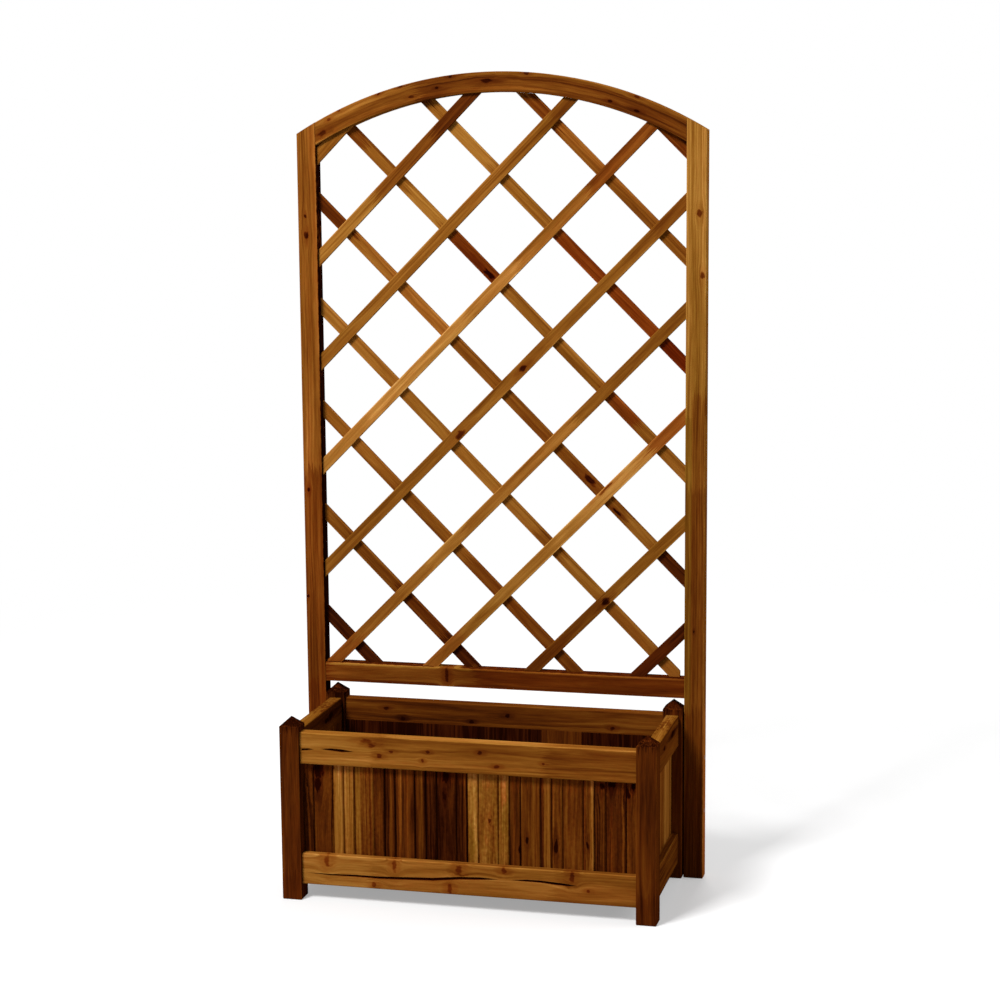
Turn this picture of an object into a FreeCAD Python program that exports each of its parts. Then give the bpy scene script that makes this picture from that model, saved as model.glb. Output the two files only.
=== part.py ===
import FreeCAD, Part
import math
import os

# A wooden floor planter with an arched trellis at its back, in millimetres.
# Four legs with pointed tops carry rails, matchboards stand in the rails' rebates,
# and a slatted floor lies in grooves. The trellis is two posts, an arch, a rail and
# two layers of crossed laths, and its posts are screwed to the box's back legs.
# The origin is on the floor under the middle of the planter. +X is to the right,
# +Y is to the back and +Z is up.

# Box: legs
box_width = 809.0             # over the outer faces of the legs
box_depth = 360.0             # over the front and back faces of the legs
leg_side = 43.0               # square section of a leg
leg_shoulder = 378.0          # height of a leg up to its pointed top
leg_point = 20.0              # height of the pointed top
leg_arris = 2.0               # rounding of a leg's long edges
foot_chamfer = 1.5            # round the underside of legs and posts

# Box: rails
rail_thickness = 28.0
rail_height = 68.0
rail_recess = 8.0             # rail face behind the leg face
rail_arris = 3.0              # rounding of a rail's long edges
bottom_rail_underside = 34.0  # above the floor
top_rail_top = 366.0          # above the floor
rebate_height = 18.0          # rebate that takes the ends of the matchboards
tenon_length = 10.0
tenon_thickness = 12.0
tenon_shoulder = 10.0         # rail left above and below its tenon
joint_play = 0.2              # clearance round tenons and in grooves
# Drying splits in the faces of the front rails. Each is a row of places from left to
# right: the share of the rail's half length from its middle, the share of the rail's
# height from its underside, and how far the split stands open there.
split_depth = 9.0
bottom_rail_splits = [
    [(-0.98, 0.38, 0.0), (-0.83, 0.36, 3.2), (-0.68, 0.38, 4.6), (-0.53, 0.375, 5.4),
     (-0.37, 0.41, 6.0), (-0.20, 0.45, 6.6), (-0.05, 0.54, 6.2), (0.09, 0.58, 5.4),
     (0.20, 0.59, 0.0)],
    [(0.25, 0.60, 0.0), (0.36, 0.62, 4.4), (0.44, 0.62, 4.8), (0.54, 0.585, 5.6),
     (0.60, 0.57, 4.4), (0.66, 0.56, 0.0)],
]
top_rail_splits = [
    [(-0.99, 0.46, 4.6), (-0.95, 0.48, 4.0), (-0.91, 0.49, 0.0)],
    [(-0.88, 0.51, 0.0), (-0.81, 0.51, 5.0), (-0.74, 0.49, 6.0), (-0.67, 0.48, 0.0)],
]

# Box: matchboards
front_board_count = 8         # and as many at the back
side_board_count = 3
board_thickness = 13.0
board_joint = 0.4             # open joint between two boards
board_vee = 3.0               # depth of the V cuts, at the joints and on the face
board_vee_inset = 23.5        # from a board's edge to the V cut on its face
tongue_thickness = 4.0
tongue_length = 6.0

# Box: floor
floor_board_count = 8
floor_thickness = 14.0
floor_underside = 54.0        # above the ground
floor_drain_gap = 6.0         # between two floor boards
floor_end_gap = 3.0           # from the outer floor boards to the legs
floor_housing = 8.0           # depth of the floor's groove in the long rails

# Trellis: frame
trellis_height = 1744.0       # from the ground to the top of the arch
post_face = 43.0              # width of a post seen from the front
post_gap = 2.5                # from a post to the back leg beside it
post_depth = 34.0
post_arris = 2.0
arch_radius = 862.0           # of the arch's outer edge
arch_width = 43.0
arch_arris = 1.5              # chamfer of the arch's curved edges
arch_tenon_shoulder = 12.0    # arch left above and below its tenon
trellis_rail_underside = 402.5
trellis_rail_height = 43.0
trellis_rail_depth = 32.0
trellis_rail_arris = 4.0

# Trellis: laths, in two layers at 45 degrees
lath_width = 26.0
lath_thickness = 9.0
lath_arris = 0.8
lath_count = 9                # in each layer
lath_lower_inset = 111.5      # from the frame's lower corner up to the first centre line
lath_upper_inset = 17.7       # from the frame's upper corner down to the last centre line
lath_end_gap = 0.3            # from a lath's ends to the frame
# How far each lath was nailed above or below its even place, lowest lath first.
rising_shift = [-6.0, 0.0, 2.0, -2.0, -2.5, 0.0, 3.0, 2.0, -6.0]
falling_shift = [-1.0, -1.0, 1.0, -2.0, 0.0, -1.0, 4.0, 3.0, -2.0]
short_lath_number = 4         # this falling lath was cut short of the right post
short_lath_gap = 12.0

# Fasteners
screw_diameter = 4.5
screw_head_diameter = 9.0
screw_head_height = 2.6
screw_length = 70.0
screw_point = 6.0
screw_slot_width = 1.0
screw_slot_length = 5.0
screw_slot_depth = 1.5
screw_heights = [150.0, 270.0]
nail_diameter = 2.0
nail_head_diameter = 5.0
nail_head_height = 1.0
nail_length = 15.0
nail_edge = 10.0              # least distance from a nail to the frame
hole_play = 0.1               # clearance round screws and nails

same_place = 1e-6             # two places nearer than this are one

# Derived places
leg_x = box_width / 2 - leg_side
leg_y = box_depth / 2 - leg_side
bottom_rail_top = bottom_rail_underside + rail_height
top_rail_underside = top_rail_top - rail_height
board_bottom = bottom_rail_top - rebate_height
board_top = top_rail_underside + rebate_height
post_inner = box_width / 2 + post_gap
post_outer = post_inner + post_face
post_back = box_depth / 2
post_front = post_back - post_depth
trellis_middle = post_back - post_depth / 2
trellis_rail_top = trellis_rail_underside + trellis_rail_height
arch_centre = trellis_height - arch_radius
arch_inner_radius = arch_radius - arch_width
arch_end_inner = arch_centre + math.sqrt(arch_inner_radius ** 2 - post_inner ** 2)
arch_end_outer = arch_centre + math.sqrt(arch_radius ** 2 - post_inner ** 2)

# Each side of the box: its name, its turn about Z from the front, the distance of the
# leg faces from the middle, the clear width between its legs, and its board count.
sides = [
    ("front", 0, box_depth / 2, 2 * leg_x, front_board_count),
    ("right", 90, box_width / 2, 2 * leg_y, side_board_count),
    ("back", 180, box_depth / 2, 2 * leg_x, front_board_count),
    ("left", 270, box_width / 2, 2 * leg_y, side_board_count),
]
long_sides = ("front", "back")
split_side = "front"

X_AXIS = FreeCAD.Vector(1, 0, 0)
Y_AXIS = FreeCAD.Vector(0, 1, 0)
Z_AXIS = FreeCAD.Vector(0, 0, 1)
ORIGIN = FreeCAD.Vector(0, 0, 0)


def block(low, high):
    """A box between two opposite corners."""
    low = FreeCAD.Vector(*low)
    size = FreeCAD.Vector(*high) - low
    return Part.makeBox(size.x, size.y, size.z, low)


def prism(points, travel):
    """A straight bar whose section is the closed outline of points."""
    corners = [FreeCAD.Vector(*point) for point in points]
    outline = Part.makePolygon(corners + corners[:1])
    return Part.Face(outline).extrude(FreeCAD.Vector(*travel))


def turned(shape, angle, axis=Z_AXIS, centre=ORIGIN):
    """A copy of the shape turned about an axis through a centre."""
    copy = shape.copy()
    copy.rotate(centre, axis, angle)
    return copy


def edges_along(shape, axis, wanted):
    """The straight edges that run along an axis and whose middle is wanted."""
    found = []
    for edge in shape.Edges:
        ends = [vertex.Point for vertex in edge.Vertexes]
        straight = isinstance(edge.Curve, Part.Line) and len(ends) == 2
        if straight and (ends[1] - ends[0]).normalize().cross(axis).Length < same_place:
            if wanted((ends[0] + ends[1]) / 2):
                found.append(edge)
    return found


def foot_edges(shape):
    """The edges round the underside, which rests on the ground."""
    return [edge for edge in shape.Edges if edge.BoundBox.ZMax < same_place]


def post_bar(low, high, arris):
    """An upright square bar with rounded long edges and a chamfered foot."""
    bar = block(low, high)
    bar = bar.makeFillet(arris, edges_along(bar, Z_AXIS, lambda middle: True))
    return bar.makeChamfer(foot_chamfer, foot_edges(bar))


def side_tenons(span, face, underside, play):
    """Both end tenons of a rail on the front side, or with play their mortises."""
    centre = -(face - rail_recess - rail_thickness / 2)
    half = tenon_thickness / 2 + play
    low = underside + tenon_shoulder - play
    high = underside + rail_height - tenon_shoulder + play
    reach = span / 2 + tenon_length + play
    pair = []
    for end in (-1, 1):
        root = end * (span / 2 - tenon_length)
        tip = end * reach
        left, right = sorted((root, tip))
        pair.append(block((left, centre - half, low), (right, centre + half, high)))
    return pair


def box_rail(face, span, underside, rebate_at_top, housed):
    """A rail of the front side, with its rebate, end tenons and floor groove."""
    outer = -(face - rail_recess)
    inner = outer + rail_thickness
    top = underside + rail_height
    bar = block((-span / 2, outer, underside), (span / 2, inner, top))
    rebated = top if rebate_at_top else underside
    rounded = edges_along(
        bar, X_AXIS,
        lambda middle: middle.y < inner - same_place or abs(middle.z - rebated) > same_place)
    bar = bar.makeFillet(rail_arris, rounded)
    low = top - rebate_height if rebate_at_top else underside
    high = top if rebate_at_top else underside + rebate_height
    bar = bar.cut(block((-span / 2, inner - board_thickness, low), (span / 2, inner, high)))
    if housed:
        bar = bar.cut(block(
            (-span / 2, inner - floor_housing - joint_play, floor_underside),
            (span / 2, inner, floor_underside + floor_thickness + joint_play)))
    for tenon in side_tenons(span, face, underside, 0):
        bar = bar.fuse(tenon)
    return bar.removeSplitter()


def split_cuts(span, face, underside, splits):
    """What the drying splits take out of the face of a rail on the front side."""
    outer = -(face - rail_recess)
    cuts = []
    for places in splits:
        upper = []
        lower = []
        for along, up, width in places:
            x = along * span / 2
            z = underside + up * rail_height
            upper.append((x, outer, z + width / 2))
            if width > 0:
                lower.append((x, outer, z - width / 2))
        cuts.append(prism(upper + lower[::-1], (0, split_depth, 0)))
    return cuts


def matchboard(index, count, span, face):
    """One tongued and grooved board of the front side, counted from its left."""
    pitch = span / count
    left = -span / 2 + index * pitch
    right = left + pitch
    inner = -(face - rail_recess - rail_thickness)
    outer = inner - board_thickness
    middle = (outer + inner) / 2
    first = index == 0
    last = index == count - 1
    groove = tongue_thickness / 2 + joint_play
    bed = tongue_length + joint_play
    outline = [(left, outer)] if first else [(left, outer + board_vee), (left + board_vee, outer)]
    for vee in (left + board_vee_inset, right - board_joint - board_vee_inset):
        outline += [(vee - board_vee, outer), (vee, outer + board_vee), (vee + board_vee, outer)]
    if last:
        outline += [(right, outer), (right, inner)]
    else:
        right -= board_joint
        tip = right + tongue_length
        tongue = tongue_thickness / 2
        outline += [(right - board_vee, outer), (right, outer + board_vee)]
        outline += [(right, middle - tongue), (tip, middle - tongue)]
        outline += [(tip, middle + tongue), (right, middle + tongue), (right, inner)]
    outline.append((left, inner))
    if not first:
        outline += [(left, middle + groove), (left + bed, middle + groove)]
        outline += [(left + bed, middle - groove), (left, middle - groove)]
    return prism([(x, y, board_bottom) for x, y in outline], (0, 0, board_top - board_bottom))


def leg(x, y, mortises, holes):
    """A leg whose near corner is at x, y, with a pointed top and its mortises."""
    top = leg_shoulder + leg_point
    bar = post_bar((x, y, 0), (x + leg_side, y + leg_side, top), leg_arris)
    rim = [(x, y), (x + leg_side, y), (x + leg_side, y + leg_side), (x, y + leg_side)]
    rim = [FreeCAD.Vector(px, py, leg_shoulder) for px, py in rim]
    tip = FreeCAD.Vector(x + leg_side / 2, y + leg_side / 2, top)
    faces = [Part.Face(Part.makePolygon(rim + rim[:1]))]
    for corner, following in zip(rim, rim[1:] + rim[:1]):
        faces.append(Part.Face(Part.makePolygon([corner, following, tip, corner])))
    point = Part.makeSolid(Part.makeShell(faces))
    square = block((x, y, 0), (x + leg_side, y + leg_side, leg_shoulder))
    return bar.common(square.fuse(point)).cut(Part.makeCompound(mortises + holes))


def frame_tenons(low, high, play):
    """Tenons at both ends of a trellis crosspiece, or with play their mortises."""
    half = tenon_thickness / 2 + play
    pair = []
    for end in (-1, 1):
        root = end * (post_inner - tenon_length)
        tip = end * (post_inner + tenon_length + play)
        left, right = sorted((root, tip))
        pair.append(block((left, trellis_middle - half, low - play),
                          (right, trellis_middle + half, high + play)))
    return pair


def arch_disc(radius):
    """A disc through the trellis's depth about the centre of the arch."""
    centre = FreeCAD.Vector(0, post_front, arch_centre)
    return Part.makeCylinder(radius, post_depth, centre, Y_AXIS)


def trellis_arch():
    """The curved top, cut from one board, with a tenon at each end."""
    ring = arch_disc(arch_radius).cut(arch_disc(arch_inner_radius))
    between = block(
        (-post_inner, post_front, arch_centre), (post_inner, post_back, trellis_height))
    arch = ring.common(between)
    rims = [edge for edge in arch.Edges if isinstance(edge.Curve, Part.Circle)]
    arch = arch.makeChamfer(arch_arris, rims)
    for tenon in frame_tenons(*arch_tenon_span, 0):
        arch = arch.fuse(tenon)
    return arch.removeSplitter()


def trellis_rail():
    """The straight rail under the laths, with a tenon at each end."""
    half = trellis_rail_depth / 2
    rail = block((-post_inner, trellis_middle - half, trellis_rail_underside),
                 (post_inner, trellis_middle + half, trellis_rail_top))
    front = edges_along(
        rail, X_AXIS,
        lambda middle: middle.y < trellis_middle and middle.z > trellis_rail_top - same_place)
    rail = rail.makeFillet(trellis_rail_arris, front)
    for tenon in frame_tenons(*rail_tenon_span, 0):
        rail = rail.fuse(tenon)
    return rail.removeSplitter()


def trellis_post(left, right, holes):
    """A post from the ground to the arch, whose outer curve it continues."""
    bar = post_bar((left, post_front, 0), (right, post_back, trellis_height), post_arris)
    lower = block((left, post_front, 0), (right, post_back, arch_centre))
    bar = bar.common(lower.fuse(arch_disc(arch_radius)))
    mortises = frame_tenons(*arch_tenon_span, joint_play) + frame_tenons(*rail_tenon_span, joint_play)
    return bar.cut(Part.makeCompound(mortises + holes))


def screw(z, end, play):
    """A countersunk screw through a post into its leg, or with play its hole."""
    radius = screw_diameter / 2 + play
    inward = FreeCAD.Vector(-1, 0, 0)
    start = FreeCAD.Vector(post_outer, trellis_middle, z)
    neck = start + inward * (screw_length - screw_point)
    head = Part.makeCone(screw_head_diameter / 2 + play, radius, screw_head_height, start, inward)
    shank = Part.makeCylinder(radius, screw_length - screw_point, start, inward)
    point = Part.makeCone(radius, play, screw_point, neck, inward)
    shape = shank.fuse([head, point]).removeSplitter()
    if play == 0:
        slot = block(
            (post_outer - screw_slot_depth, trellis_middle - screw_slot_length / 2,
             z - screw_slot_width / 2),
            (post_outer, trellis_middle + screw_slot_length / 2, z + screw_slot_width / 2))
        shape = shape.cut([slot, turned(slot, 90, X_AXIS, start)])
    return shape if end > 0 else turned(shape, 180, centre=FreeCAD.Vector(0, trellis_middle, 0))


def nail(x, z, play):
    """A nail driven from behind where two laths cross, or with play its hole."""
    back = FreeCAD.Vector(x, trellis_middle + lath_thickness, z)
    inward = FreeCAD.Vector(0, -1, 0)
    shank = Part.makeCylinder(nail_diameter / 2 + play, nail_length + play, back, inward)
    head = Part.makeCylinder(nail_head_diameter / 2 + play, nail_head_height, back, inward)
    return shank.fuse(head)


def lath(height, slope, shortfall, crossings):
    """A lath at 45 degrees whose centre line meets the middle at a height.

    A rising lath has slope 1 and lies in the front layer, and a falling one has
    slope -1 and lies in the back layer.
    """
    half = lath_width / 2
    near = trellis_middle - lath_thickness if slope > 0 else trellis_middle
    far = near + lath_thickness
    cut = lath_arris
    section = [(-half + cut, near), (half - cut, near), (half, near + cut), (half, far - cut),
               (half - cut, far), (-half + cut, far), (-half, far - cut), (-half, near + cut)]
    bar = prism([(x, y, -trellis_height) for x, y in section], (0, 0, 2 * trellis_height))
    bar = turned(bar, 45 * slope, Y_AXIS)
    bar.translate(FreeCAD.Vector(0, 0, height))
    opening = block(
        (-post_inner + lath_end_gap, post_front, trellis_rail_top + lath_end_gap),
        (post_inner - lath_end_gap - shortfall, post_back, trellis_height))
    lower = block((-post_inner, post_front, 0), (post_inner, post_back, arch_centre))
    window = opening.common(lower.fuse(arch_disc(arch_inner_radius - lath_end_gap)))
    bar = bar.common(window)
    if crossings:
        bar = bar.cut(Part.makeCompound([nail(x, z, hole_play) for x, z in crossings]))
    return bar


def lath_heights(shifts):
    """Where a layer's centre lines meet the middle, spaced evenly but for the shifts."""
    lowest = trellis_rail_top - post_inner + lath_lower_inset
    highest = arch_end_inner + post_inner - lath_upper_inset
    pitch = (highest - lowest) / (lath_count - 1)
    return [lowest + pitch * i + shifts[i % len(shifts)] for i in range(lath_count)]


def nail_places(rising, falling):
    """The crossings that lie clear of the frame, as (rising, falling, x, z)."""
    places = []
    for r, rise in enumerate(rising):
        for f, fall in enumerate(falling):
            x = (fall - rise) / 2
            z = (fall + rise) / 2
            under_arch = math.hypot(x, z - arch_centre) < arch_inner_radius - nail_edge
            above_rail = z > trellis_rail_top + nail_edge
            if above_rail and abs(x) < post_inner - nail_edge and (z < arch_centre or under_arch):
                places.append((r, f, x, z))
    return places


def floor_slats():
    """The floor boards, whose ends lie in the grooves of the long bottom rails."""
    clear = 2 * (leg_x - floor_end_gap)
    width = (clear - (floor_board_count - 1) * floor_drain_gap) / floor_board_count
    reach = box_depth / 2 - rail_recess - rail_thickness + floor_housing
    slats = []
    for index in range(floor_board_count):
        left = -clear / 2 + index * (width + floor_drain_gap)
        slats.append(block((left, -reach, floor_underside),
                           (left + width, reach, floor_underside + floor_thickness)))
    return slats


def export(name, shapes):
    """Write one piece, or one group of like pieces, and check its solids."""
    solids = [solid for shape in shapes for solid in shape.Solids]
    if not solids or not all(solid.isValid() for solid in solids):
        raise ValueError("no valid solid in " + name)
    shape = solids[0] if len(solids) == 1 else Part.makeCompound(solids)
    shape.exportStep("parts/" + name + ".step")
    print(name, len(solids), round(shape.Volume / 1000), "cm3")


arch_tenon_span = (arch_end_inner + arch_tenon_shoulder, arch_end_outer - arch_tenon_shoulder)
rail_tenon_span = (trellis_rail_underside + tenon_shoulder, trellis_rail_top - tenon_shoulder)

os.makedirs("parts", exist_ok=True)

# The four sides of the box: two rails and a row of matchboards each.
mortises = []
for name, angle, face, span, count in sides:
    housed = name in long_sides
    for level, underside, splits in (
        ("bottom", bottom_rail_underside, bottom_rail_splits),
        ("top", top_rail_underside, top_rail_splits),
    ):
        at_bottom = level == "bottom"
        rail = box_rail(face, span, underside, at_bottom, housed and at_bottom)
        if name == split_side:
            rail = rail.cut(split_cuts(span, face, underside, splits))
        export(name + "_" + level + "_rail", [turned(rail, angle)])
        for mortise in side_tenons(span, face, underside, joint_play):
            mortises.append(turned(mortise, angle))
    for index in range(count):
        board = matchboard(index, count, span, face)
        export(name + "_board_" + str(index + 1), [turned(board, angle)])

# The legs, and the screws that hold the posts to the back legs.
screw_holes = [screw(z, end, hole_play) for z in screw_heights for end in (-1, 1)]
for name, x, y in (
    ("front_left_leg", -box_width / 2, -box_depth / 2),
    ("front_right_leg", leg_x, -box_depth / 2),
    ("back_left_leg", -box_width / 2, leg_y),
    ("back_right_leg", leg_x, leg_y),
):
    export(name, [leg(x, y, mortises, screw_holes)])
export("post_screws", [screw(z, end, 0) for z in screw_heights for end in (-1, 1)])
export("floor_boards", floor_slats())

# The trellis frame.
export("trellis_left_post", [trellis_post(-post_outer, -post_inner, screw_holes)])
export("trellis_right_post", [trellis_post(post_inner, post_outer, screw_holes)])
export("trellis_arch", [trellis_arch()])
export("trellis_rail", [trellis_rail()])

# The laths, the rising ones in front, and the nails where they cross.
rising_heights = lath_heights(rising_shift)
falling_heights = lath_heights(falling_shift)
places = nail_places(rising_heights, falling_heights)
for index, height in enumerate(rising_heights):
    crossings = [(x, z) for r, f, x, z in places if r == index]
    export("rising_lath_" + str(index + 1), [lath(height, 1, 0, crossings)])
for index, height in enumerate(falling_heights):
    crossings = [(x, z) for r, f, x, z in places if f == index]
    shortfall = short_lath_gap if index + 1 == short_lath_number else 0
    export("falling_lath_" + str(index + 1), [lath(height, -1, shortfall, crossings)])
export("lath_nails", [nail(x, z, 0) for r, f, x, z in places])
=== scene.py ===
import bpy
import math
from mathutils import Matrix, Vector


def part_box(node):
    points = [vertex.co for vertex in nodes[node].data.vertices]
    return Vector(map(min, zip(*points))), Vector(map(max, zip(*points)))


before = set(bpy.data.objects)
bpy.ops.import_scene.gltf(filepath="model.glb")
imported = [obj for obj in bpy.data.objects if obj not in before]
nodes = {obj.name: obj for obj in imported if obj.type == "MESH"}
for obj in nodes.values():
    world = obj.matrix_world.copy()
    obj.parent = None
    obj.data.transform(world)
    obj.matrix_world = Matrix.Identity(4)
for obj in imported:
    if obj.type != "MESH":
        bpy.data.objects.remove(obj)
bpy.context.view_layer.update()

# The camera stands to the right of the planter, a little below the top of the arch,
# and looks slightly down at it through a long lens.
CAMERA_PLACE = (1.15953, -4.51006, 1.56188)
CAMERA_TURN = 0.244063        # to the left of straight back, in radians
CAMERA_TILT = -0.152285       # below the horizon
CAMERA_ROLL = -0.008026
CAMERA_LENS = 80.1755         # millimetres
SENSOR_WIDTH = 36.0

bpy.ops.object.select_all(action="DESELECT")
bpy.ops.object.camera_add(location=CAMERA_PLACE)
camera = bpy.context.object
camera.data.sensor_width = SENSOR_WIDTH
camera.data.lens = CAMERA_LENS
camera.data.clip_end = 500
camera.rotation_euler = (
    Matrix.Rotation(CAMERA_TURN, 3, "Z")
    @ Matrix.Rotation(math.pi / 2 + CAMERA_TILT, 3, "X")
    @ Matrix.Rotation(CAMERA_ROLL, 3, "Z")
).to_euler()
bpy.context.scene.camera = camera
bpy.context.scene.view_settings.view_transform = "Standard"


# The studio: a pale floor that runs out into a white background, a large soft lamp high
# on the left of the front, and two weaker ones that show the right side and the back.
class Shade:
    """A shader socket that takes part in sums as a number does."""

    def __init__(self, paint, socket):
        self.paint = paint
        self.socket = socket

    def sum(self, operation, *others):
        terms = dict(enumerate((self,) + others))
        return self.paint.node("Math", {"operation": operation}, terms)

    def __add__(self, other):
        return self.sum("ADD", other)

    def __sub__(self, other):
        return self.sum("SUBTRACT", other)

    def __mul__(self, other):
        return self.sum("MULTIPLY", other)

    def __truediv__(self, other):
        return self.sum("DIVIDE", other)

    def __rsub__(self, other):
        return self.paint.node("Math", {"operation": "SUBTRACT"}, {0: other, 1: self})

    def __rtruediv__(self, other):
        return self.paint.node("Math", {"operation": "DIVIDE"}, {0: other, 1: self})

    __radd__ = __add__
    __rmul__ = __mul__

    def step(self, low, high, start=0.0, end=1.0):
        """A smooth change from start to end as this goes from low to high."""
        return self.paint.node(
            "MapRange", {"interpolation_type": "SMOOTHSTEP"},
            {0: self, 1: low, 2: high, 3: start, 4: end})

    def within(self, low, high, soft):
        """One between low and high, and nothing beyond them, with soft ends."""
        off = (self - (low + high) / 2).sum("ABSOLUTE")
        half = (high - low) / 2
        return off.step(half - soft, half + soft, 1.0, 0.0)


class Paint:
    """The nodes of one material, or of the world, under construction."""

    def __init__(self, owner):
        self.owner = owner
        owner.use_nodes = True
        self.tree = owner.node_tree
        self.tree.nodes.clear()

    def node(self, kind, settings=None, sockets=None, output=0):
        """Add a node, set it up, fill its sockets and give back one of its outputs."""
        made = self.tree.nodes.new("ShaderNode" + kind)
        for name, value in (settings or {}).items():
            if name == "stops":
                ramp = made.color_ramp.elements
                while len(ramp) < len(value):
                    ramp.new(1.0)
                for stop, (place, colour) in zip(ramp, value):
                    stop.position = place
                    stop.color = colour
            else:
                setattr(made, name, value)
        for name, value in (sockets or {}).items():
            if isinstance(value, Shade):
                self.tree.links.new(value.socket, made.inputs[name])
            else:
                made.inputs[name].default_value = value
        return Shade(self, made.outputs[output]) if made.outputs else None

    def split(self, shade):
        """The three parts of a vector or a colour."""
        parts = self.node("SeparateXYZ", None, {0: shade})
        return [Shade(self, socket) for socket in parts.socket.node.outputs]

    def mix(self, factor, first, second, blend="MIX"):
        settings = {"data_type": "RGBA", "blend_type": blend}
        return self.node("Mix", settings, {0: factor, 6: first, 7: second}, 2)

    def noise(self, x, y, z, detail=2.0, output=0):
        place = self.node("CombineXYZ", None, {0: x, 1: y, 2: z})
        return self.node(
            "TexNoise", None, {"Vector": place, "Scale": 1.0, "Detail": detail}, output)


def seen_directly(paint):
    """One for rays from the camera and for reflected and refracted ones."""
    ray = paint.node("LightPath")
    camera_ray, glossy, through = [
        Shade(paint, ray.socket.node.outputs[name])
        for name in ("Is Camera Ray", "Is Glossy Ray", "Is Transmission Ray")]
    return camera_ray.sum("MAXIMUM", glossy).sum("MAXIMUM", through)


FLOOR_SIZE = 60.0                    # metres, as are all lengths in the studio
FLOOR_PALE = (0.56, 0.56, 0.56, 1.0)
FLOOR_BOUNCE = (0.42, 0.42, 0.42, 1.0)   # what the floor sends back onto the planter
FLOOR_NEAR, FLOOR_FAR = 1.2, 3.6     # where the floor starts and ends its fade to white
FLOOR_LIFT = 0.34                    # keeps the shadow on the floor faint
AMBIENT = 0.23                       # light from all round
WHITE = (1.0, 1.0, 1.0, 1.0)

bpy.ops.mesh.primitive_plane_add(size=FLOOR_SIZE, location=(0, 0, 0))
floor = bpy.context.object
floor.name = "studio_floor"
paint = Paint(bpy.data.materials.new("studio_floor"))
place = paint.node("TexCoord", None, None, "Object")
away = paint.node("VectorMath", {"operation": "LENGTH"}, {0: place}, 1)
away = away.step(FLOOR_NEAR, FLOOR_FAR)
seen = seen_directly(paint)
pale = paint.node("BsdfDiffuse", None, {"Color": FLOOR_PALE})
lift = paint.node("Emission", None, {"Color": WHITE, "Strength": FLOOR_LIFT})
near = paint.node("AddShader", None, {0: pale, 1: lift})
far = paint.node("Emission", None, {"Color": WHITE, "Strength": 1.0})
shown = paint.node("MixShader", None, {0: away, 1: near, 2: far})
bounce = paint.node("BsdfDiffuse", None, {"Color": FLOOR_BOUNCE})
both = paint.node("MixShader", None, {0: seen, 1: bounce, 2: shown})
paint.node("OutputMaterial", None, {"Surface": both})
floor.data.materials.append(paint.owner)

world = bpy.data.worlds.new("studio")
bpy.context.scene.world = world
paint = Paint(world)
strength = seen_directly(paint).step(0.0, 1.0, AMBIENT, 1.0)
around = paint.node("Background", None, {"Color": WHITE, "Strength": strength})
paint.node("OutputWorld", None, {"Surface": around})


LAMP_DISTANCE = 6.0
LAMPS_LOOK_AT = Vector((0.0, 0.0, 0.8))


def soft_lamp(name, azimuth, elevation, size, brightness):
    """A square lamp that looks at the planter. Brightness 1 lights a face that is square
    to it so that its colour shows as it is written."""
    bpy.ops.object.light_add(type="AREA")
    lamp = bpy.context.object
    lamp.name = name
    across = math.cos(math.radians(elevation)) * LAMP_DISTANCE
    offset = Vector((
        math.sin(math.radians(azimuth)) * across,
        -math.cos(math.radians(azimuth)) * across,
        math.sin(math.radians(elevation)) * LAMP_DISTANCE))
    lamp.location = LAMPS_LOOK_AT + offset
    lamp.rotation_euler = offset.to_track_quat("Z", "Y").to_euler()
    lamp.data.shape = "SQUARE"
    lamp.data.size = size
    lamp.data.energy = brightness * (math.pi * LAMP_DISTANCE) ** 2


soft_lamp("main_lamp", azimuth=-28, elevation=46, size=1.8, brightness=1.40)
soft_lamp("side_lamp", azimuth=100, elevation=22, size=2.4, brightness=0.42)
soft_lamp("back_lamp", azimuth=184, elevation=32, size=2.4, brightness=0.50)


# The four legs: 43 mm square softwood under a brown stain, with a low pyramid cut on
# top, whose end grain took more of it. The box's rails are let into two sides.
def srgb(red, green, blue):
    """A colour given as it shows on a screen, from 0 to 255."""
    parts = [part / 255 for part in (red, green, blue)]
    return tuple(
        part / 12.92 if part < 0.04045 else ((part + 0.055) / 1.055) ** 2.4
        for part in parts) + (1.0,)


# The stain on wood from its darkest, at 0, to its palest, at 1.
STAIN = [
    (0.00, srgb(28, 6, 1)), (0.08, srgb(44, 14, 3)), (0.18, srgb(62, 25, 5)),
    (0.29, srgb(81, 36, 7)), (0.40, srgb(98, 50, 11)), (0.50, srgb(113, 64, 17)),
    (0.60, srgb(128, 77, 24)), (0.72, srgb(146, 95, 36)), (0.84, srgb(165, 113, 50)),
    (0.94, srgb(184, 134, 66)), (1.00, srgb(200, 154, 92))]
RUSTY = (1.06, 0.52, 0.50, 1.0)       # what turns the stain into its red-brown
MOSSY = (0.84, 1.02, 0.80, 1.0)       # and into its olive


def midpoint(name):
    low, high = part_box(name)
    return (Vector(low) + Vector(high)) / 2


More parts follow.
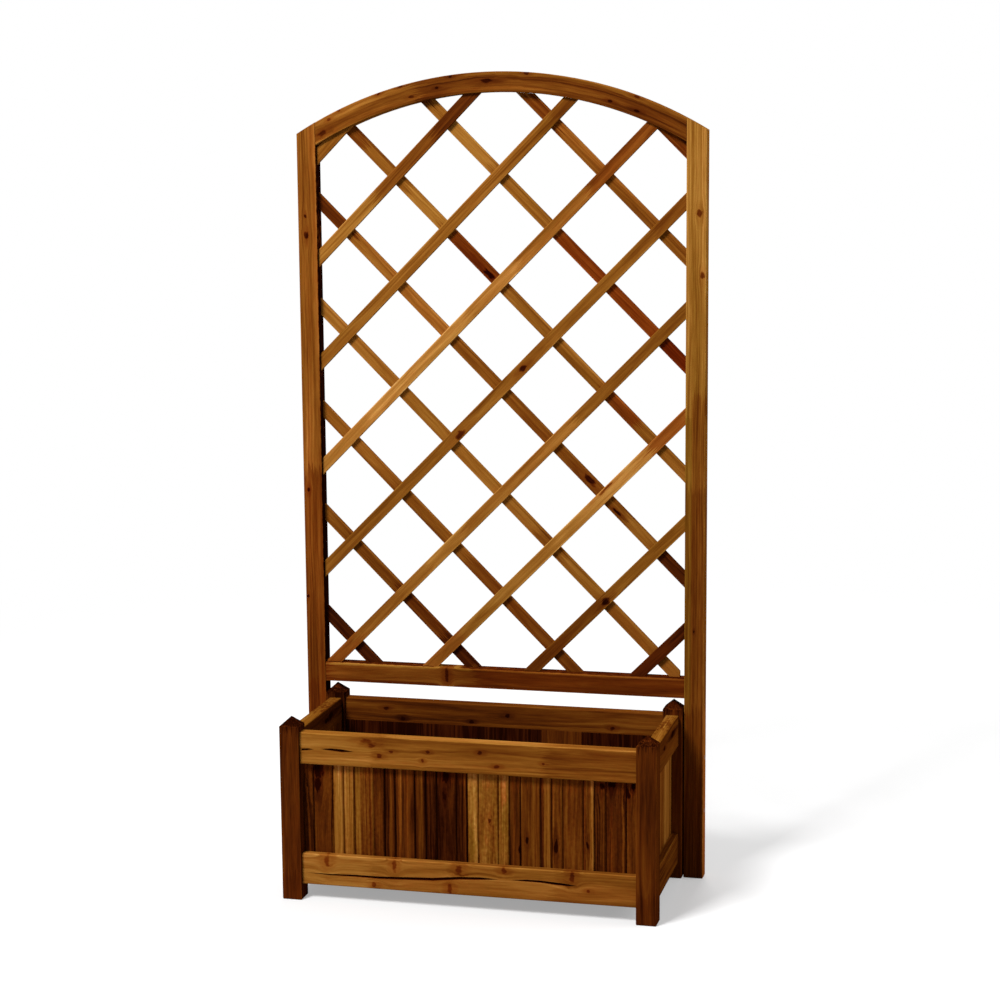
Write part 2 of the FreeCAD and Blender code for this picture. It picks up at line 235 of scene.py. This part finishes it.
def timber(name, grain, tone, seed, red=0.0, knots=(), stretches=(), figure=1.0,
           pith=(14.0, 46.0), ring=4.2, sway=6.0, centre=None, tilt=0.0, curve=None,
           section=None, vee_face=None, split_front=None, knot_depth=1.0, mottle=0.0):
    """Paint a piece as stained softwood, with all lengths in millimetres from its middle.

    grain names the piece's own directions in the order along, across and through, and
    pith is the heart of the tree, across and through. tone is how pale the stained wood
    is, and red how far it leans to red-brown, or below 0 to olive. figure is how strong
    the grain shows, ring the year rings' width, and sway how far the trunk bends. A knot
    is its place along and across, and its half length and half width. A stretch is where
    it starts and ends along and across, and what it adds to the tone and to the redness.
    curve is the radius of a bent piece, whose centre is given. section is half the
    piece's width and depth, for its edges, painted lighter as wear and as a painted
    highlight. vee_face is the face that the V cuts lie below, and split_front where the
    walls of the drying splits lie, which carry painted shade. mottle is the strength
    of the patches on a board that took the stain unevenly.
    """
    paint = Paint(bpy.data.materials.new(name + "_wood"))
    spot = paint.node("TexCoord", None, None, "Object")
    local = paint.node("Mapping", {"vector_type": "TEXTURE"}, {
        "Vector": spot, "Location": centre or midpoint(name),
        "Rotation": (0.0, tilt, 0.0), "Scale": (0.001, 0.001, 0.001)})
    axes = dict(zip("xyz", paint.split(local)))
    if curve:
        # Round the arch: along is measured on the curve, and across outwards from it.
        along = axes["x"].sum("ARCTAN2", axes["z"]) * curve
        across = (axes["x"] * axes["x"] + axes["z"] * axes["z"]).sum("SQRT") - curve
        through = axes["y"]
    else:
        along, across, through = (axes[letter] for letter in grain)

    # The trunk's slow bends, and the small waves in the edges of knots and stretches. The
    # number beside a direction is how many waves a noise has to a millimetre that way.
    bend = paint.noise(along * 0.0024 + seed, across * 0.012, through * 0.012 + seed, 2.0, 1)
    bend_across, bend_through, blotch = paint.split(bend)
    wave = paint.noise(along * 0.07 + seed, across * 0.16, through * 0.16 + seed, 2.0, 1)
    wave_along, wave_across, wave_tone = paint.split(wave)
    fray = paint.noise(along * 0.010 + seed, across * 0.55, through * 0.55, 2.0)

    # The fibres part round each knot, and the wood near it is darker.
    pull = 0.0
    core = 0.0
    heart = 0.0
    halo = 0.0
    for knot_along, knot_across, half_along, half_across in knots:
        one = along + (wave_along - 0.5) * (1.6 * half_along) - knot_along
        one = one / half_along
        away = across - knot_across
        two = (away + (wave_across - 0.5) * (1.6 * half_across)) / half_across
        one = one * one
        two = two * two
        square = one + two
        core = square.step(0.1, 1.6, 1.0, 0.0) + core
        heart = square.step(0.0, 0.5, 1.0, 0.0) + heart
        reach = one * 0.07 + two * 0.24
        near = 1.0 / (reach * reach + 1.0)
        pull = near * away * 0.8 + pull
        halo = (one * 0.08 + two * 0.3).step(0.0, 1.6, 1.0, 0.0) + halo
    flow = across - pull

    # Year rings round the pith, and streaks that follow them.
    side = flow - pith[0] + (bend_across - 0.5) * (2 * sway)
    depth = through - pith[1] + (bend_through - 0.5) * (2 * sway)
    radius = (side * side + depth * depth).sum("SQRT")
    turns = (radius / ring).sum("FRACT")
    late = turns.step(0.25, 0.86) * turns.step(0.92, 1.0, 1.0, 0.0)
    streak = paint.noise(along * 0.0014 + seed * 1.7, radius * 0.11, seed * 3.1, 3.0)
    band = paint.noise(along * 0.0045 + seed, radius * 0.36, flow * 0.05 + seed * 2.3, 3.0)
    fibre = paint.noise(along * 0.020, flow * 0.40 + seed, through * 0.40, 4.0)
    pore = paint.noise(along * 0.055, flow * 1.5 + seed, through * 1.5, 2.0)

    shade = ((streak - 0.5) * 0.75 + (band - 0.5) * 0.80 + (fibre - 0.5) * 0.42
             + (blotch - 0.5) * 0.45 + (pore - 0.5) * 0.22 - late * 0.085) * figure + tone
    rust = ((wave_tone - 0.5) * (0.4 + 1.6 * mottle) + (streak - 0.5) * 0.9
            + (blotch - 0.5) * 0.5 + (red - 0.03))
    if mottle:
        patch = paint.noise(along * 0.11 + seed, across * 0.15, through * 0.15, 3.0)
        shade = (patch - 0.5) * mottle + shade
    for start, end, low, high, change, redder in stretches:
        frayed = along + (fray - 0.5) * 110.0 + (wave_along - 0.5) * 20.0
        covered = frayed.within(start, end, 7.0)
        if low is not None:
            covered = (flow + (wave_across - 0.5) * 3.0).within(low, high, 0.9) * covered
        shade = covered * change + shade
        if redder:
            rust = covered * redder + rust
    if knots:
        shade = halo * -0.08 + core * -0.26 * knot_depth + heart * 0.04 + shade
        rust = core * 0.35 + halo * 0.15 + rust
    if vee_face:
        sunk = through.sum("ABSOLUTE").step(vee_face - 2.6, vee_face - 0.8, 1.0, 0.0)
        shade = sunk * -0.24 + shade
    if split_front:
        # Painted shade in the drying splits: their walls are painted dark and redder.
        # Clear of the rail's rounded edges, which are as deep as a split's walls.
        split_shade = through.within(*split_front, 0.3) * across.within(-30.5, 30.5, 0.5)
        shade = split_shade * -0.40 + shade
        rust = split_shade * 0.6 + rust
    if section:
        # Lighter along the long edges: wear, and a painted highlight on the rounded arrises.
        wear_and_highlight = across.sum("ABSOLUTE").step(section[0] - 3.2, section[0] - 0.8)
        wear_and_highlight = through.sum("ABSOLUTE").step(section[1] - 3.2, section[1] - 0.8) * wear_and_highlight
        shade = wear_and_highlight * (fray - 0.22) * 0.34 + shade

    colour = paint.node("ValToRGB", {"stops": STAIN}, {"Fac": shade})
    colour = paint.mix(rust, colour, RUSTY, "MULTIPLY")
    colour = paint.mix(rust * -1.3, colour, MOSSY, "MULTIPLY")
    relief = fibre * 0.5 + pore * 0.25 - late * 0.4
    if knots:
        relief = core * 0.4 + relief
    rough = fibre.step(0.3, 0.7, 0.66, 0.54)
    bump = paint.node("Bump", None, {"Strength": 0.5, "Distance": 0.0006, "Height": relief})
    surface = paint.node("BsdfPrincipled", None, {
        "Base Color": colour, "Roughness": rough, "Normal": bump, "Specular IOR Level": 0.0})
    paint.node("OutputMaterial", None, {"Surface": surface})
    nodes[name].material_slots[0].material = paint.owner


LEG_HALF = 21.5
LEG_POINT = (178.0, 240.0, None, None, -0.20, 0.1)
LEG_FOOT = (-240.0, -140.0, None, None, -0.06, 0.1)
LEG_TONES = {
    "front_left_leg": 0.25, "front_right_leg": 0.29, "back_left_leg": 0.26, "back_right_leg": 0.26}
for number, (name, tone) in enumerate(LEG_TONES.items()):
    timber(name, "zxy", tone, seed=3.1 + number * 4.7, red=0.12, pith=(9.0, 55.0), ring=3.0,
           figure=0.62, section=(LEG_HALF, LEG_HALF), stretches=[LEG_POINT, LEG_FOOT])

# The eight rails: 28 by 68 mm, tenoned into the legs, with rounded edges. The front
# pair is paler on the left, and has split along the grain as it dried; the splits' walls
# carry painted shade. The top faces of the front and side top rails carry a painted highlight.
RAIL_HALF = (34.0, 14.0)
SPLIT_FRONT = (-13.6, -4.6)          # where the walls of the drying splits lie, through
FRONT_TOP_KNOTS = [
    (-214.0, 24.0, 12.0, 4.5), (-203.0, 14.0, 9.0, 4.0), (-186.0, -7.0, 5.5, 5.0),
    (-160.0, 3.0, 5.0, 3.0), (-81.0, 8.0, 4.5, 3.0), (-92.0, -12.0, 3.0, 4.5),
    (32.0, 12.0, 4.5, 4.0), (67.0, -15.8, 5.0, 3.5), (166.0, -3.6, 3.5, 2.5)]
FRONT_BOTTOM_KNOTS = [
    (-306.0, 21.0, 5.5, 13.0), (-157.0, 21.0, 4.5, 13.0), (-16.0, 21.0, 7.0, 9.0),
    (-36.0, -22.0, 5.0, 11.0), (-202.0, -25.0, 5.0, 5.0), (81.0, 26.0, 6.0, 6.5),
    (226.0, 22.0, 5.5, 11.0), (261.0, -5.5, 4.0, 3.5)]
timber("front_top_rail", "xzy", tone=0.57, seed=11.3, pith=(20.0, 34.0), ring=5.0, figure=0.6,
       knots=FRONT_TOP_KNOTS, section=RAIL_HALF, split_front=SPLIT_FRONT,
       # The paler top face, from left of the middle to the right end, is a painted highlight.
       stretches=[(-372.0, -200.0, None, None, 0.10, 0.0), (170.0, 372.0, None, None, -0.13, 0.0),
                  (-190.0, 372.0, 31.5, 60.0, 0.14, 0.0)])
timber("front_bottom_rail", "xzy", tone=0.64, seed=21.9, red=0.1, pith=(-10.0, 40.0), ring=5.0, figure=0.6,
       knots=FRONT_BOTTOM_KNOTS, section=RAIL_HALF, split_front=SPLIT_FRONT,
       stretches=[(-372.0, -210.0, None, None, 0.11, 0.0), (190.0, 372.0, None, None, -0.09, 0.0)])
timber("back_top_rail", "xzy", tone=0.41, seed=16.4, pith=(20.0, 34.0), ring=5.0, figure=0.7,
       knots=[(-266.0, 14.6, 6.0, 4.0), (-227.0, -7.5, 5.0, 4.0), (13.0, 11.0, 5.5, 4.5),
              (-68.0, -7.0, 5.0, 3.5), (250.0, -4.0, 5.0, 4.0)], section=RAIL_HALF)
timber("back_bottom_rail", "xzy", tone=0.42, seed=25.2, pith=(-10.0, 40.0), ring=5.0, figure=0.7,
       knots=[(100.0, 10.0, 6.0, 5.0), (-220.0, -6.0, 5.0, 4.0)], section=RAIL_HALF)
for number, side in enumerate(("left", "right")):
    timber(side + "_top_rail", "yzx", tone=0.38, seed=31.7 + number * 2.9, pith=(20.0, 34.0),
           figure=0.6, section=RAIL_HALF,
           knots=[(30.0 - 70.0 * number, 8.0, 12.0, 5.0), (60.0, 14.0, 16.0, 6.0)],
           # The paler top face is a painted highlight.
           stretches=[(-160.0, 160.0, 32.0, 60.0, 0.24, -0.2)])
    timber(side + "_bottom_rail", "yzx", tone=0.40, seed=41.2 + number * 2.1,
           pith=(-14.0, 34.0), figure=0.8, section=RAIL_HALF)

# The matchboards: 13 mm tongued and grooved boards with V cuts at their joints and on
# their faces, standing in the rails' rebates.
BOARD_FACE = 6.5                     # half a board's thickness
VEE_PLACE = 21.6                     # from a board's middle to the V cuts on its face
LEFT_STRIP = (-60.0, -VEE_PLACE)
RIGHT_STRIP = (VEE_PLACE, 60.0)
def line(low, high, change, redder=0.0, start=-130.0, end=130.0):
    """A stretch between two places across a board, along all of it or a part of it."""
    return (start, end, low, high, change, redder)


# Each front board from the left: the tone of its middle, what its left and right strips
# add to it, its redness and patches, and its knots and lines.
FRONT_BOARDS = [
    dict(tone=0.33, left=-0.08, right=0.36, red=0.0, mottle=0.15,
         knots=[(84.0, -9.0, 17.0, 11.0), (50.0, -12.0, 14.0, 6.0)],
         lines=[line(-34.0, -29.0, 0.14, 0.25), line(15.0, 19.0, -0.14), line(17.5, 21.0, 0.3),
                line(31.0, 35.0, 0.08)]),
    dict(tone=0.46, left=0.18, right=-0.22, red=0.0, mottle=0.25,
         knots=[],
         lines=[line(-20.0, -8.0, 0.14, -0.2), line(3.0, 6.0, -0.12, 0.1),
                line(11.0, 15.0, -0.14, 0.2), line(-42.0, -38.0, 0.1, 0.1)]),
    dict(tone=0.25, left=-0.08, right=-0.04, red=0.0, mottle=0.1,
         knots=[],
         lines=[line(-14.0, -8.0, 0.2, 0.2), line(3.0, 6.0, 0.08, 0.3), line(27.0, 38.0, 0.1, -0.3),
                line(-34.0, -28.0, 0.08, -0.2)]),
    dict(tone=0.15, left=0.02, right=0.05, red=0.05, mottle=0.12,
         knots=[(84.0, -2.0, 12.0, 6.0), (40.0, -4.0, 6.0, 3.0)],
         lines=[line(39.0, 42.0, 0.2, 0.1), line(-6.0, -2.0, 0.06, 0.1)]),
    dict(tone=0.59, left=0.08, right=0.02, red=-0.15, mottle=0.45,
         knots=[(-4.0, 2.0, 5.0, 3.0)],
         lines=[line(27.0, 38.0, 0.02, 0.6, start=20.0, end=80.0),
                line(-8.0, 12.0, -0.05, 0.25, start=-60.0, end=40.0),
                line(-42.0, -30.0, -0.04, -0.4, start=-100.0, end=-20.0),
                line(28.0, 42.0, -0.04, -0.4, start=-40.0, end=30.0)]),
    dict(tone=0.46, left=-0.12, right=0.06, red=0.0, mottle=0.1,
         knots=[(-62.0, -23.0, 10.0, 3.0), (-42.0, -8.0, 7.0, 3.5)],
         lines=[line(22.0, 28.0, -0.26, 0.2), line(-38.0, -32.0, 0.08, 0.3),
                line(34.0, 40.0, 0.16, 0.1)]),
    dict(tone=0.38, left=0.1, right=0.1, red=0.0, mottle=0.2,
         knots=[(-52.0, -36.0, 14.0, 4.0), (-44.0, 30.0, 8.0, 3.0)],
         lines=[line(-44.0, -40.0, 0.1, 0.3), line(22.0, 27.0, -0.14, 0.4),
                line(38.0, 43.0, 0.22, 0.1), line(-30.0, -26.0, -0.1)]),
    dict(tone=0.17, left=0.13, right=0.18, red=0.0, mottle=0.2,
         knots=[(84.0, -30.0, 8.0, 5.0), (92.0, -8.0, 8.0, 7.0), (72.0, 24.0, 10.0, 5.0),
                (88.0, 36.0, 8.0, 4.0)],
         lines=[line(13.0, 17.0, 0.2), line(-12.0, -8.0, 0.1, 0.3, start=-130.0, end=60.0),
                line(-36.0, -33.0, -0.08)])]
# Paler and redder just below the rail: painted light that offsets the rail's shadow on the boards.
PAINTED_LIGHT_UNDER_RAIL = (78.0, 130.0, None, None, 0.10, 0.45)      # redder just below the rail
ALL_ALONG = (-200.0, 200.0)
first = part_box("front_board_1")
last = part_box("front_board_" + str(len(FRONT_BOARDS)))
pitch = (last[1][0] - first[0][0]) / len(FRONT_BOARDS)
for number, board in enumerate(FRONT_BOARDS):
    name = "front_board_" + str(number + 1)
    low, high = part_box(name)
    centre = Vector((low[0] + pitch / 2, (low[1] + high[1]) / 2, (low[2] + high[2]) / 2))
    strips = [ALL_ALONG + LEFT_STRIP + (board["left"], 0.0),
              ALL_ALONG + RIGHT_STRIP + (board["right"], 0.0), PAINTED_LIGHT_UNDER_RAIL]
    timber(name, "zxy", board["tone"], seed=51.0 + number * 6.3, centre=centre,
           red=board["red"], knots=board["knots"], stretches=strips + board["lines"],
           pith=(20.0 * math.sin(number), 40.0), ring=3.6, figure=0.72,
           vee_face=BOARD_FACE, mottle=board["mottle"], knot_depth=1.4)
# The back boards are counted from the right, and one of them is paler. Their dark
# tones are partly their stain and partly painted shade of the box's interior.
BACK_TONES_AND_SHADE = (0.06, 0.04, 0.36, 0.08, 0.06, 0.09, 0.04, 0.06)
for number, tone in enumerate(BACK_TONES_AND_SHADE):
    timber("back_board_" + str(number + 1), "zxy", tone, seed=111.0 + number * 6.3, red=0.1,
           pith=(20.0 * math.cos(number), 40.0), figure=0.6, vee_face=BOARD_FACE)
SIDE_TONES = (0.40, 0.46, 0.68)
for number, tone in enumerate(SIDE_TONES):
    for side in ("left", "right"):
        timber(side + "_board_" + str(number + 1), "zyx", tone, seed=171.0 + number * 5.9,
               red=0.1, figure=0.7, vee_face=BOARD_FACE)

# The floor: eight slats of thinly stained softwood, with gaps that let the water out.
# Their ends lie in grooves of the long bottom rails.
# Their dark tone is partly painted shade of the box's interior.
timber("floor_boards", "yxz", tone=0.22, seed=201.0)

# The trellis posts: 43 by 34 mm, from the ground to the arch. The left one's inner side
# is painted dark as painted shade, and the right one is painted darker below about the top
# of the box as the box's shadow, with a painted highlight on its outer side there.
POST_HALF = (21.5, 17.0)
timber("trellis_left_post", "zxy", tone=0.56, seed=211.0, red=0.15, pith=(30.0, 30.0), ring=3.8,
       figure=0.62, section=POST_HALF,
       knots=[(578.0, -3.0, 8.0, 5.0), (619.0, -5.0, 4.0, 3.0), (15.0, -10.0, 5.0, 3.5),
              (-226.0, -16.0, 4.0, 3.0)], knot_depth=1.5,
       # The first stretch paints the inner side dark as painted shade.
       stretches=[(-900.0, 900.0, 20.8, 60.0, -0.60, 0.1), (-900.0, -420.0, None, None, -0.20, 0.25),
                  (-420.0, 60.0, None, None, -0.17, 0.05)])
timber("trellis_right_post", "zxy", tone=0.71, seed=219.5, red=-0.2, pith=(-40.0, 24.0), ring=4.4,
       figure=0.62, section=POST_HALF,
       knots=[(624.0, 7.0, 7.0, 5.0), (493.0, 14.0, 7.0, 5.0), (-270.0, -1.0, 2.5, 1.5)],
       knot_depth=1.6,
       # Below about the top of the box the post is painted darker as the box's shadow, and its outer side
       # paler as a painted highlight.
       stretches=[(-900.0, -560.0, None, None, -0.34, 0.40), (-560.0, -440.0, None, None, -0.34, 0.25),
                  (-440.0, 40.0, None, None, -0.12, 0.0), (-440.0, 190.0, -40.0, -7.0, -0.10, -0.4),
                  (-440.0, 240.0, -7.0, 60.0, -0.12, 0.35), (-900.0, -440.0, 19.6, 60.0, 0.36, 0.4),
                  (-440.0, 190.0, 19.6, 60.0, 0.10, 0.0), (190.0, 900.0, 20.8, 60.0, -0.08, 0.1)])

# The arch: one piece of softwood whose grain follows the curve, 43 by 34 mm, tenoned
# into the tops of the posts.
ARCH_RADIUS = 840.5
ARCH_CENTRE = Vector((0.0, 0.163, 0.882))
timber("trellis_arch", "xzy", tone=0.40, seed=231.0, pith=(-6.0, 30.0), centre=ARCH_CENTRE,
       curve=ARCH_RADIUS, ring=5.0, figure=0.7, section=POST_HALF,
       # The paler band along the outer rim, from the middle to the right end, is a painted highlight.
       stretches=[(-500.0, -180.0, None, None, 0.16, 0.0), (-60.0, 500.0, 13.0, 60.0, 0.12, -0.1),
                  (-300.0, 500.0, 5.0, 8.0, -0.12, 0.0), (-420.0, 120.0, -15.0, -9.0, 0.08, 0.2),
                  (60.0, 420.0, -11.0, -8.0, -0.10, 0.0)],
       knots=[(-410.0, -6.0, 9.0, 6.0), (-383.0, 12.0, 4.0, 3.0), (-354.0, 20.0, 4.0, 3.0),
              (-261.0, 19.0, 4.0, 3.0), (-211.0, 20.0, 5.0, 3.0), (-193.0, -8.0, 6.0, 3.0),
              (-133.0, -1.0, 4.0, 2.5), (-100.0, 18.0, 4.0, 3.0), (-24.0, 2.0, 13.0, 4.0),
              (62.0, 19.0, 5.0, 3.5), (251.0, -8.0, 5.0, 3.0), (301.0, 19.0, 6.0, 3.0),
              (312.0, -8.0, 6.0, 3.0)])

# The trellis rail: a redder piece of the same softwood, just above the box, tenoned into
# the posts. Its front upper edge is painted pale on the left as a painted highlight, and
# its top face darker as a painted shadow.
timber("trellis_rail", "xzy", tone=0.36, seed=241.0, red=0.45, pith=(5.0, 40.0), figure=0.55,
       section=(21.5, 16.0),
       # The pale bands along the front upper edge are a painted highlight, and the darker top face a
       # painted shadow.
       stretches=[(-400.0, -60.0, -15.0, 20.6, 0.12, -0.3), (-400.0, -60.0, 16.0, 20.8, 0.18, -0.4),
                  (-60.0, 400.0, 17.0, 20.8, 0.16, -0.2), (-900.0, 900.0, 21.2, 60.0, -0.22, 0.0)],
       knots=[(-125.0, 4.0, 4.0, 16.0)])

# The laths: nine that rise to the right in front, and nine that fall to the right
# behind them, 26 by 9 mm, each stained as it came.
LATH_LOWEST = 150.0                  # height at which the lowest crosses the middle
LATH_PITCH = 229.0
RISING_SHIFTS = (-6.0, 0.0, 2.0, -2.0, -2.5, 0.0, 3.0, 2.0, -6.0)
FALLING_SHIFTS = (-1.0, -1.0, 1.0, -2.0, 0.0, -1.0, 4.0, 3.0, -2.0)
LATH_HALF = (13.0, 4.5)
SLANT = math.sqrt(2)                 # length along a lath for each length sideways
# Places along a lath are given by their sideways distance from the trellis's middle.
# The few laths with knots: each knot's place, and its half length and half width.
LATH_KNOTS = {
    "rising_lath_2": [(231.0, -3.0, 10.0, 7.0)],
    "rising_lath_5": [(51.0, -1.0, 9.0, 6.0), (-94.0, -5.0, 13.0, 6.5)],
    "falling_lath_5": [(196.0, 2.0, 16.0, 6.0), (259.0, -4.0, 10.0, 3.0)],
    "falling_lath_6": [(-22.0, -2.0, 18.0, 5.0), (-380.0, 0.0, 12.0, 4.0)],
    "rising_lath_3": [(238.0, 9.0, 18.0, 2.5)]}
# Each lath, lowest first: its tone and redness, and its stretches, with where each starts
# and ends and what it adds to the tone and the redness.
RISING = [
    (0.15, 0.25, []),
    (0.65, -0.1, [(0.0, 140.0, -0.24, 0.2), (140.0, 236.0, -0.16, 0.0)]),
    (0.76, 0.05, [(-180.0, -90.0, -0.06, 0.3), (130.0, 300.0, 0.07, 0.0), (330.0, 420.0, -0.20, 0.4)]),
    (0.66, 0.0, [(-420.0, -330.0, -0.16, 0.3), (-330.0, -230.0, -0.08, 0.0), (-160.0, -80.0, 0.08, 0.0),
                 (-60.0, 160.0, -0.02, 0.0), (170.0, 420.0, -0.16, -0.2)]),
    (0.60, 0.0, [(110.0, 280.0, 0.06, 0.0), (340.0, 420.0, -0.10, 0.1)]),
    (0.60, 0.05, [(-420.0, 40.0, 0.14, 0.0), (-300.0, -70.0, 0.09, 0.0), (200.0, 420.0, -0.18, 0.2)]),
    (0.56, -0.15, [(-70.0, 90.0, 0.04, 0.2), (120.0, 240.0, -0.10, 0.1)]),
    (0.54, 0.2, [(-420.0, -275.0, 0.17, -0.2), (-140.0, -40.0, -0.16, 0.0)]),
    (0.68, 0.1, [])]
FALLING = [
    (0.15, 0.2, []),
    (0.48, 0.0, [(-240.0, -60.0, -0.15, 0.1), (-135.0, -60.0, -0.22, 0.0)]),
    (0.51, 0.0, [(-80.0, 200.0, -0.12, 0.1)]),
    (0.66, 0.0, [(80.0, 140.0, -0.14, 0.0), (220.0, 420.0, -0.05, 0.1)]),
    (0.42, -0.1, [(-420.0, -330.0, -0.08, 0.4), (-330.0, -120.0, 0.20, 0.2), (280.0, 345.0, 0.18, 0.0),
                  (350.0, 420.0, -0.20, 0.3)]),
    (0.60, 0.0, [(-420.0, -300.0, -0.17, 0.2), (-200.0, -120.0, 0.12, 0.0), (-110.0, 10.0, -0.20, 0.6),
                 (230.0, 300.0, -0.12, 0.6)]),
    # The seventh's left end, under the arch, is painted dark as the arch's shadow.
    (0.62, 0.0, [(-420.0, -150.0, -0.35, 0.2), (-110.0, -20.0, 0.14, 0.0), (120.0, 420.0, -0.16, 0.8),
                 (350.0, 420.0, -0.20, 0.2)]),
    (0.58, 0.15, [(60.0, 130.0, -0.20, 0.1)]),
    (0.34, 0.3, [])]
for layer, laths, shifts, slope in (
        ("rising", RISING, RISING_SHIFTS, -1.0), ("falling", FALLING, FALLING_SHIFTS, 1.0)):
    for number, (tone, red, stretches) in enumerate(laths):
        name = layer + "_lath_" + str(number + 1)
        height = LATH_LOWEST + LATH_PITCH * number + shifts[number]
        centre = Vector((0.0, midpoint(name).y, height / 1000))
        ends = [(start * SLANT, end * SLANT, None, None, change, redder)
                for start, end, change, redder in stretches]
        knots = [(place * SLANT, across, half_along, half_across)
                 for place, across, half_along, half_across in LATH_KNOTS.get(name, [])]
        timber(name, "xzy", tone, seed=251.0 + number * 4.1 + slope * 31.0, red=red, centre=centre,
               tilt=math.radians(45.0 * slope), pith=(6.0 - 3.0 * number, 24.0), ring=3.0,
               figure=0.6, section=LATH_HALF, stretches=ends, knots=knots, knot_depth=1.6)

# The fasteners: brown-coated screws through the posts, and thin nails in the laths,
# stained over with the wood.
paint = Paint(bpy.data.materials.new("brown_coat"))
metal = paint.node("BsdfPrincipled", None, {
    "Base Color": srgb(78, 48, 26), "Metallic": 0.4, "Roughness": 0.5})
paint.node("OutputMaterial", None, {"Surface": metal})
for name in ("post_screws", "lath_nails"):
    nodes[name].material_slots[0].material = paint.owner
